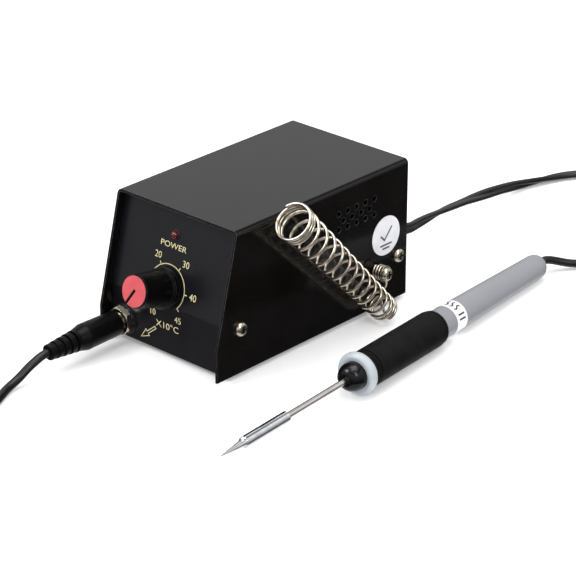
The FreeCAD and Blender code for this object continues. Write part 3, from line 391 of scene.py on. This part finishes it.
def add_traces(material):
    """Copper runs under the board's varnish."""
    tree, colour_in, below = painted(material)
    cells_per_metre = 260.0
    values = {"Vector": object_place(tree), "Scale": cells_per_metre}
    to_edge = node(tree, "ShaderNodeTexVoronoi", values,
                   feature="DISTANCE_TO_EDGE").outputs["Distance"]
    runs = remap(tree, to_edge, 0.06, 0.10, 0.55, 0.0)
    tree.links.new(mix_colour(tree, runs, below, rgb(96, 140, 76)), colour_in)


def lamp_look():
    """Red lamp, unlit, darker where it faces the camera, with a painted lighter sheen towards
    its rim.
    """
    lamp = surface("lamp_red_look", rgb(80, 5, 10), rgb(60, 3, 7), (0.05, 0.10),
                   mottle=1.5, grit=0.3, relief=0.002, rounding=0.1, coat=1.0)
    tree, colour_in, below = painted(lamp)
    # Painted sheen: the colour turns lighter red towards the rim as the face turns from the
    # camera.
    painted_rim_sheen = node(tree, "ShaderNodeLayerWeight", {"Blend": 0.45}).outputs["Facing"]
    tree.links.new(mix_colour(tree, painted_rim_sheen, below, rgb(132, 12, 20)), colour_in)
    shader = tree.nodes["Principled BSDF"]
    shader.inputs["Subsurface Weight"].default_value = 0.15
    shader.inputs["Subsurface Radius"].default_value = (1.0 * MM, 0.2 * MM, 0.2 * MM)
    return {"lamp_red": lamp}


def ink(name, colour, deeper):
    """Look of a printed mark."""
    return surface(name, colour, deeper, (0.42, 0.56), mottle=1.4, grit=0.22, relief=0.004,
                   rounding=0.02)


def dress_frame():
    """Gives each CAD node the look of its material slot."""
    looks = {}
    for made in (paint_looks(), metal_looks(), plastic_looks(), soft_looks(), sheet_looks(),
                 lamp_look()):
        looks.update(made)
    for cad_node in frame["nodes"].values():
        for slot in cad_node.material_slots:
            slot.material = looks[slot.material.name]
    return looks


# ---- mesh helpers -------------------------------------------------------------------
def smooth_line(points, spacing):
    """Evenly stepped places on a centripetal Catmull-Rom curve through the points."""
    ends = [points[0] * 2 - points[1]] + points + [points[-1] * 2 - points[-2]]
    line = []
    for p0, p1, p2, p3 in zip(ends, ends[1:], ends[2:], ends[3:]):
        t1 = (p1 - p0).length ** 0.5
        t2 = t1 + (p2 - p1).length ** 0.5
        t3 = t2 + (p3 - p2).length ** 0.5
        count = max(1, math.ceil((p2 - p1).length / spacing))
        for i in range(count):
            t = t1 + (t2 - t1) * i / count
            a1 = p0.lerp(p1, t / t1)
            a2 = p1.lerp(p2, (t - t1) / (t2 - t1))
            a3 = p2.lerp(p3, (t - t2) / (t3 - t2))
            b1 = a1.lerp(a2, t / t2)
            b2 = a2.lerp(a3, (t - t1) / (t3 - t1))
            line.append(b1.lerp(b2, (t - t1) / (t2 - t1)))
    return line + [points[-1]]


def round_section(radius, sides):
    """Ring of points round a circle, in millimetres."""
    step = 2 * math.pi / sides
    return [(radius * math.cos(i * step), radius * math.sin(i * step)) for i in range(sides)]


def twin_section(core_r, sides):
    """Two round cores side by side, joined by a narrow web."""
    half = []
    web_deg = 28.0
    core_offset = 0.92
    for i in range(sides + 1):
        angle = math.radians(-180 + web_deg + (360 - 2 * web_deg) * i / sides)
        half.append((core_r * (core_offset + math.cos(angle)), core_r * math.sin(angle)))
    return half + [(-x, -y) for x, y in half]


def sweep(name, line, section, twist=None):
    """Closed tube: a section in millimetres carried along a line in metres."""
    bm = bmesh.new()
    rings = []
    last = len(line) - 1
    ahead = (line[1] - line[0]).normalized()
    side = ahead.orthogonal().normalized()
    for i, at in enumerate(line):
        ahead = (line[min(i + 1, last)] - line[max(i - 1, 0)]).normalized()
        if twist:
            side = ahead.cross(Vector((0, 0, 1))).normalized()
        else:
            side = (side - ahead * side.dot(ahead)).normalized()
        up = side.cross(ahead)
        turn = math.radians(twist(i / last)) if twist else 0.0
        first = side * math.cos(turn) + up * math.sin(turn)
        second = up * math.cos(turn) - side * math.sin(turn)
        rings.append([bm.verts.new(at + (first * a + second * b) * MM) for a, b in section])
    for ring, following in zip(rings, rings[1:]):
        for j in range(len(section)):
            k = (j + 1) % len(section)
            bm.faces.new((ring[j], ring[k], following[k], following[j]))
    bm.faces.new(list(reversed(rings[0])))
    bm.faces.new(rings[-1])
    bmesh.ops.recalc_face_normals(bm, faces=bm.faces)
    return add_mesh(name, bm, smooth=True)


def add_mesh(name, bm, smooth=False):
    """Puts the built mesh into the scene as one piece."""
    mesh = bpy.data.meshes.new(name)
    for face in bm.faces:
        face.smooth = smooth
    bm.to_mesh(mesh)
    bm.free()
    piece = bpy.data.objects.new(name, mesh)
    bpy.context.scene.collection.objects.link(piece)
    return piece


def finish_piece(piece, material, body=None):
    """Gives a piece its look and the body that it rides."""
    piece.data.materials.clear()
    piece.data.materials.append(material)
    if body:
        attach(piece, body)


# ---- coil holder --------------------------------------------------------------------
def coil_pitch(turn):
    """Relative pitch: closed turns at the mouth, open ones closing up to the tail."""
    closed, widest, narrow, tight = 1.6, 7.3, 4.7, 1.75
    opening_from = 2.4
    opening_turns = 1.0
    closing_from = COIL_TURNS - 2.6
    closing_turns = 1.4
    open_from = opening_from + opening_turns
    if turn < opening_from:
        return closed
    if turn < open_from:
        return closed + (widest - closed) * (turn - opening_from) / opening_turns
    if turn < closing_from:
        return widest + (narrow - widest) * (turn - open_from) / (closing_from - open_from)
    return max(tight, narrow + (tight - narrow) * (turn - closing_from) / closing_turns)


def coil_line():
    """Centre line of the wire: tapering helix, lead, and eye round the holder's screw."""
    axis = COIL_TAIL - COIL_MOUTH
    length = axis.length
    axis.normalize()
    across = (Vector((1, 0, 0)) - axis * axis.x).normalized()
    down = axis.cross(across)
    stations = [0.0]
    for i in range(int(COIL_TURNS * COIL_STEPS)):
        stations.append(stations[-1] + coil_pitch((i + 0.5) / COIL_STEPS) / COIL_STEPS)
    points = []
    for i, station in enumerate(stations):
        share = station / stations[-1]
        angle = math.radians(COIL_START_DEG + 360.0 * i / COIL_STEPS)
        radius = (COIL_MOUTH_R + (COIL_TAIL_R - COIL_MOUTH_R) * share) * MM
        points.append(COIL_MOUTH + axis * (share * length)
                      + across * (radius * math.cos(angle)) + down * (radius * math.sin(angle)))
    points += [case_place(*place) for place in COIL_LEAD]
    for i in range(int(EYE_TURNS * COIL_STEPS) + 1):
        turn = i / COIL_STEPS
        angle = math.radians(EYE_START_DEG - 360.0 * turn)
        offset = Vector((EYE_HALF_DEPTH - EYE_PITCH * turn, EYE_R * math.cos(angle),
                         EYE_R * math.sin(angle)))
        points.append(EYE_AT + offset * MM)
    return smooth_line(points, spacing=0.8 * MM)


def build_coil(looks):
    """Smooth round wire in place of the CAD's faceted one."""
    coil = sweep("holder_wire", coil_line(), round_section(WIRE_R, 14))
    finish_piece(coil, looks["spring_wire"], "holder")
    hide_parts("holder_coil")


# ---- cords --------------------------------------------------------------------------
def iron_cord_line():
    """From inside the plug's end, round in front of the station, to inside the handle."""
    plug_low, plug_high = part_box("plug_shell")
    plug_end = (plug_low + plug_high) / 2
    plug_end.y = plug_low.y
    collar_low, collar_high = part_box("collar_ring")
    collar = (collar_low + collar_high) / 2
    to_tail = (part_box("handle_tube")[1].y - collar.y) / IRON_AXIS.y
    tail = collar + IRON_AXIS * to_tail
    lying_z = CORD_R + 0.1
    places = [*CORD_DROP, *((x, y, lying_z) for x, y in CORD_LOOP), CORD_RISE]
    points = [plug_end + Vector((0, 1.5, 0)) * MM, plug_end + Vector((0, -2.8, -0.1)) * MM]
    points += [case_place(*place) for place in places]
    points += [tail + IRON_AXIS * 5.0 * MM, tail - IRON_AXIS * 4.0 * MM]
    return smooth_line(points, spacing=2.5 * MM)


def build_cords(looks):
    """The iron's cord runs from the plug round to the iron; the mains cord rides the station."""
    cord = sweep("iron_lead", iron_cord_line(), round_section(CORD_R, 20))
    finish_piece(cord, looks["cord_black"])
    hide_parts("iron_cord")
    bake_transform(cord)
    mains = sweep("mains_lead", mains_line(), twin_section(FLAT_CORE_R, 12), flat_twist)
    finish_piece(mains, looks["cord_black"], "station")
    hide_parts("mains_cord")


def mains_line():
    """From inside the back panel down to the bench and into the mains plug."""
    low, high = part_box("mains_grommet")
    middle = (low + high) / 2
    points = [Vector((middle.x, low.y, middle.z)),
              Vector((middle.x, high.y + 0.5 * MM, middle.z))]
    points += [case_place(*place) for place in MAINS_COURSE]
    return smooth_line(points, spacing=1.5 * MM)


def flat_twist(share):
    """Angle of the flat cord's wide side above the level, eased between its keys."""
    for (s0, a0), (s1, a1) in zip(MAINS_TWIST, MAINS_TWIST[1:]):
        if share <= s1:
            t = (share - s0) / (s1 - s0)
            return a0 + (a1 - a0) * t * t * (3 - 2 * t)
    return MAINS_TWIST[-1][1]


# ---- printed marks ------------------------------------------------------------------
def on_panel(across, up, lift):
    """Place on the leaning panel, in millimetres from the dial's centre."""
    return DIAL_AT + PANEL_RIGHT * across * MM + PANEL_UP * up * MM + PANEL_OUT * lift


def on_strip(across, up, lift):
    """Place on the upright strip under the crease; up is measured from the bench."""
    return Vector((DIAL_AT.x + across * MM, TRAY_FRONT_Y - lift, up * MM))


def on_seal(across, up, lift):
    """Place on the round seal, in millimetres from its centre."""
    low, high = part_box("inspection_sticker")
    middle = (low + high) / 2
    return Vector((high.x + lift, middle.y + across * MM, middle.z + up * MM))


def on_band(around, along, lift):
    """Place on the handle's band: millimetres round it and along it."""
    low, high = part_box("label_band")
    radius = BAND_R * MM - along * MM * BAND_TAPER
    angle = around * MM / radius
    level = IRON_AXIS.cross(Vector((0, 0, 1))).normalized()
    top = level.cross(IRON_AXIS)
    outwards = level * math.sin(angle) + top * math.cos(angle)
    return (low + high) / 2 + IRON_AXIS * along * MM + outwards * (radius + lift)


def stroke(bm, points, width, place, closed=False):
    """One thin raised line through flat points, mitred at its corners."""
    count = len(points)
    mitre_limit = 0.4
    sides = []
    for i, point in enumerate(points):
        before = points[i - 1] if i or closed else None
        after = points[(i + 1) % count] if i + 1 < count or closed else None
        into = (point - before).normalized() if before else (after - point).normalized()
        out = (after - point).normalized() if after else into
        normal = Vector((-(into.y + out.y), into.x + out.x)).normalized()
        reach = width / 2 / max(mitre_limit, normal.dot(Vector((-into.y, into.x))))
        sides.append((point + normal * reach, point - normal * reach))
    rings = []
    for left, right in sides:
        rings.append([bm.verts.new(place(left.x, left.y, INK_LIFT)),
                      bm.verts.new(place(right.x, right.y, INK_LIFT)),
                      bm.verts.new(place(right.x, right.y, INK_LIFT + INK_DEPTH)),
                      bm.verts.new(place(left.x, left.y, INK_LIFT + INK_DEPTH))])
    pairs = list(zip(rings, rings[1:]))
    if closed:
        pairs.append((rings[-1], rings[0]))
    for ring, following in pairs:
        for j in range(4):
            k = (j + 1) % 4
            bm.faces.new((ring[j], ring[k], following[k], following[j]))
    if not closed:
        bm.faces.new(list(reversed(rings[0])))
        bm.faces.new(rings[-1])


def strokes(name, lines, width, place, material, body):
    """Several raised lines as one printed piece."""
    bm = bmesh.new()
    for points, closed in lines:
        stroke(bm, [Vector(p) for p in points], width, place, closed)
    bmesh.ops.recalc_face_normals(bm, faces=bm.faces)
    finish_piece(add_mesh(name, bm), material, body)


def lettering(name, text, height, across, up, place, material, body, squeeze=1.0):
    """Thin raised text, centred on a place, with its height in millimetres."""
    curve = bpy.data.curves.new(name, "FONT")
    half_depth = 0.5
    weld = 1e-5
    curve.body = text
    curve.align_x = "CENTER"
    curve.align_y = "CENTER"
    curve.resolution_u = 4
    curve.extrude = half_depth
    holder = bpy.data.objects.new(name, curve)
    bpy.context.scene.collection.objects.link(holder)
    graph = bpy.context.evaluated_depsgraph_get()
    mesh = bpy.data.meshes.new_from_object(holder.evaluated_get(graph))
    bpy.data.objects.remove(holder)
    tall = max(v.co.y for v in mesh.vertices) - min(v.co.y for v in mesh.vertices)
    scale = height / tall
    bm = bmesh.new()
    bm.from_mesh(mesh)
    bmesh.ops.remove_doubles(bm, verts=bm.verts, dist=weld)
    for vertex in bm.verts:
        lift = INK_LIFT + (vertex.co.z + half_depth) * INK_DEPTH
        vertex.co = place(across + vertex.co.x * scale * squeeze,
                          up + vertex.co.y * scale, lift)
    bmesh.ops.recalc_face_normals(bm, faces=bm.faces)
    finish_piece(add_mesh(name, bm), material, body)


def on_circle(radius, degrees):
    """Flat point on a circle, from the right and counter-clockwise."""
    angle = math.radians(degrees)
    return (radius * math.cos(angle), radius * math.sin(angle))


def print_dial():
    """Scale arc with its ticks, numbers, lamp legend, unit and direction arrow."""
    cream = ink("dial_ink", rgb(216, 207, 162), rgb(200, 189, 140))
    arc_r = 9.6
    tick = 1.5
    arc_from, arc_to = -44.0, 224.0
    arc_steps = 64
    arc = [on_circle(arc_r, arc_from + (arc_to - arc_from) * i / arc_steps)
           for i in range(arc_steps + 1)]
    lines = [(arc, False)]
    for deg in (222.0, 120.0, 60.0, 0.0, -42.0):
        lines.append(((on_circle(arc_r, deg), on_circle(arc_r + tick, deg)), False))
    strokes("dial_scale", lines, SCALE_PEN, on_panel, cream, "station")
    number_h = 2.75
    number_squeeze = 0.95
    # Name, text, height, squeeze, place across, place up, face.
    labels = (("dial_20", "20", number_h, number_squeeze, -7.1, 11.75, on_panel),
              ("dial_30", "30", number_h, number_squeeze, 8.1, 11.55, on_panel),
              ("dial_40", "40", number_h, number_squeeze, 14.35, -0.05, on_panel),
              ("dial_10", "10", number_h, number_squeeze, -6.6, 17.7, on_strip),
              ("dial_45", "45", number_h, number_squeeze, 7.5, 18.0, on_strip),
              ("lamp_legend", "POWER", 2.3, 1.25, 0.1, 17.05, on_panel),
              ("dial_unit", "X10°C", 2.9, 1.15, 1.6, 13.5, on_strip))
    for name, text, height, squeeze, across, up, face in labels:
        lettering(name, text, height, across, up, face, cream, "station",
                  squeeze)
    print_arrow(cream)


def print_arrow(cream):
    """Outlined arrow that points from the scale to the jack."""
    tail = Vector((-5.1, 11.1))
    head = Vector((-13.3, 4.6))
    along = (head - tail).normalized()
    across = Vector((-along.y, along.x))
    shaft_share = 0.55
    shaft = across * 0.5
    barb = across * 1.5
    neck = tail + along * ((head - tail).length * shaft_share)
    outline = [tail + shaft, neck + shaft, neck + barb, head, neck - barb, neck - shaft,
               tail - shaft]
    strokes("jack_arrow", [(outline, True)], ARROW_PEN, on_strip, cream,
            "station")


def print_seal():
    """Tick and two rules on the round seal."""
    grey = ink("seal_ink", rgb(58, 60, 66), rgb(74, 76, 82))
    lines = [(((-3.4, 0.6), (-1.0, -1.8), (3.6, 3.4)), False),
             (((-3.6, -4.0), (3.6, -4.0)), False), (((-2.2, -5.5), (2.2, -5.5)), False)]
    strokes("seal_tick", lines, SEAL_PEN, on_seal, grey, "station")


def print_band():
    """Waves of heat and two bars round the handle's band."""
    black = ink("band_ink", rgb(30, 30, 34), rgb(44, 44, 48))
    half = 2.1
    swing = 0.55
    steps = 12
    lines = []
    for centre in (-1.2, 1.0, 3.2):
        wave = [(centre + swing * math.sin(2 * math.pi * i / steps),
                 -half + 2 * half * i / steps) for i in range(steps + 1)]
        lines.append((wave, False))
    for centre in (6.4, 8.4):
        lines.append((((centre, -half), (centre, half)), False))
    strokes("band_mark", lines, BAND_PEN, on_band, black, "iron")


# ---- stage --------------------------------------------------------------------------
def build_floor():
    """Plain pale floor; polished faces see the studio instead of it."""
    half = 4.0
    bm = bmesh.new()
    corners = [bm.verts.new((x * half, y * half, 0.0))
               for x, y in ((-1, -1), (1, -1), (1, 1), (-1, 1))]
    bm.faces.new(corners)
    floor = add_mesh("studio_floor", bm)
    pale = surface("floor_look", rgb(246, 246, 246), rgb(240, 240, 241), (0.7, 0.85),
                   mottle=300.0, grit=4.0, relief=0.02, specular=0.1)
    shader = pale.node_tree.nodes["Principled BSDF"]
    shader.inputs["Emission Color"].default_value = WHITE
    shader.inputs["Emission Strength"].default_value = 0.18
    floor.data.materials.append(pale)
    floor.visible_glossy = False


def build_world():
    """White to the camera; a studio with a dark waist for polished faces to reflect."""
    world = bpy.data.worlds.new("studio")
    bpy.context.scene.world = world
    world.use_nodes = True
    tree = world.node_tree
    background = tree.nodes["Background"]
    direction = node(tree, "ShaderNodeTexCoord").outputs["Generated"]
    height = node(tree, "ShaderNodeSeparateXYZ", {"Vector": direction}).outputs["Z"]
    share = remap(tree, height, -1.0, 1.0)
    ramp = node(tree, "ShaderNodeValToRGB", {"Fac": share})
    stops = ramp.color_ramp.elements
    while len(stops) < len(STUDIO_LEVELS):
        stops.new(0.5)
    for stop, (place, level) in zip(stops, STUDIO_LEVELS):
        stop.position = place
        stop.color = (level, level, level * STUDIO_BLUE, 1.0)
    rays = node(tree, "ShaderNodeLightPath")
    seen = mix_colour(tree, rays.outputs["Is Glossy Ray"], WHITE, ramp.outputs["Color"])
    tree.links.new(seen, background.inputs["Color"])
    background.inputs["Strength"].default_value = STUDIO_STRENGTH


def area_light(name, at, target, size, watts):
    """Soft light at one place, turned to another; size in metres."""
    data = bpy.data.lights.new(name, "AREA")
    data.shape = "RECTANGLE"
    data.size, data.size_y = size
    data.energy = watts
    light = bpy.data.objects.new(name, data)
    bpy.context.scene.collection.objects.link(light)
    light.location = at
    light.rotation_euler = (target - at).to_track_quat("-Z", "Y").to_euler()


def build_lights():
    """Key light at the front left, fill at the right, and a wide light overhead."""
    middle = case_place(30, 50, 20)
    area_light("key_softbox", case_place(-550, -750, 1000), middle, (0.55, 0.55), 9.0)
    area_light("fill_softbox", case_place(1100, -200, 900), middle, (0.5, 0.7), 5.0)
    area_light("top_softbox", case_place(100, 250, 1400), middle, (0.9, 0.9), 9.0)


def build_camera():
    """Three-quarter view from the front right, a little above the case."""
    data = bpy.data.cameras.new("camera")
    data.lens = 157.5
    data.sensor_width = 36.0
    data.clip_start = 0.05
    camera = bpy.data.objects.new("camera", data)
    bpy.context.scene.collection.objects.link(camera)
    camera.location = case_place(637.7, -617.9, 448.7)
    target = case_place(17.9, 56.24, 18.9)
    camera.rotation_euler = (target - camera.location).to_track_quat("-Z", "Y").to_euler()
    bpy.context.scene.camera = camera


looks = dress_frame()
build_coil(looks)
build_cords(looks)
print_dial()
print_seal()
print_band()
build_floor()
build_world()
build_lights()
build_camera()
bpy.context.scene.view_settings.view_transform = "Standard"
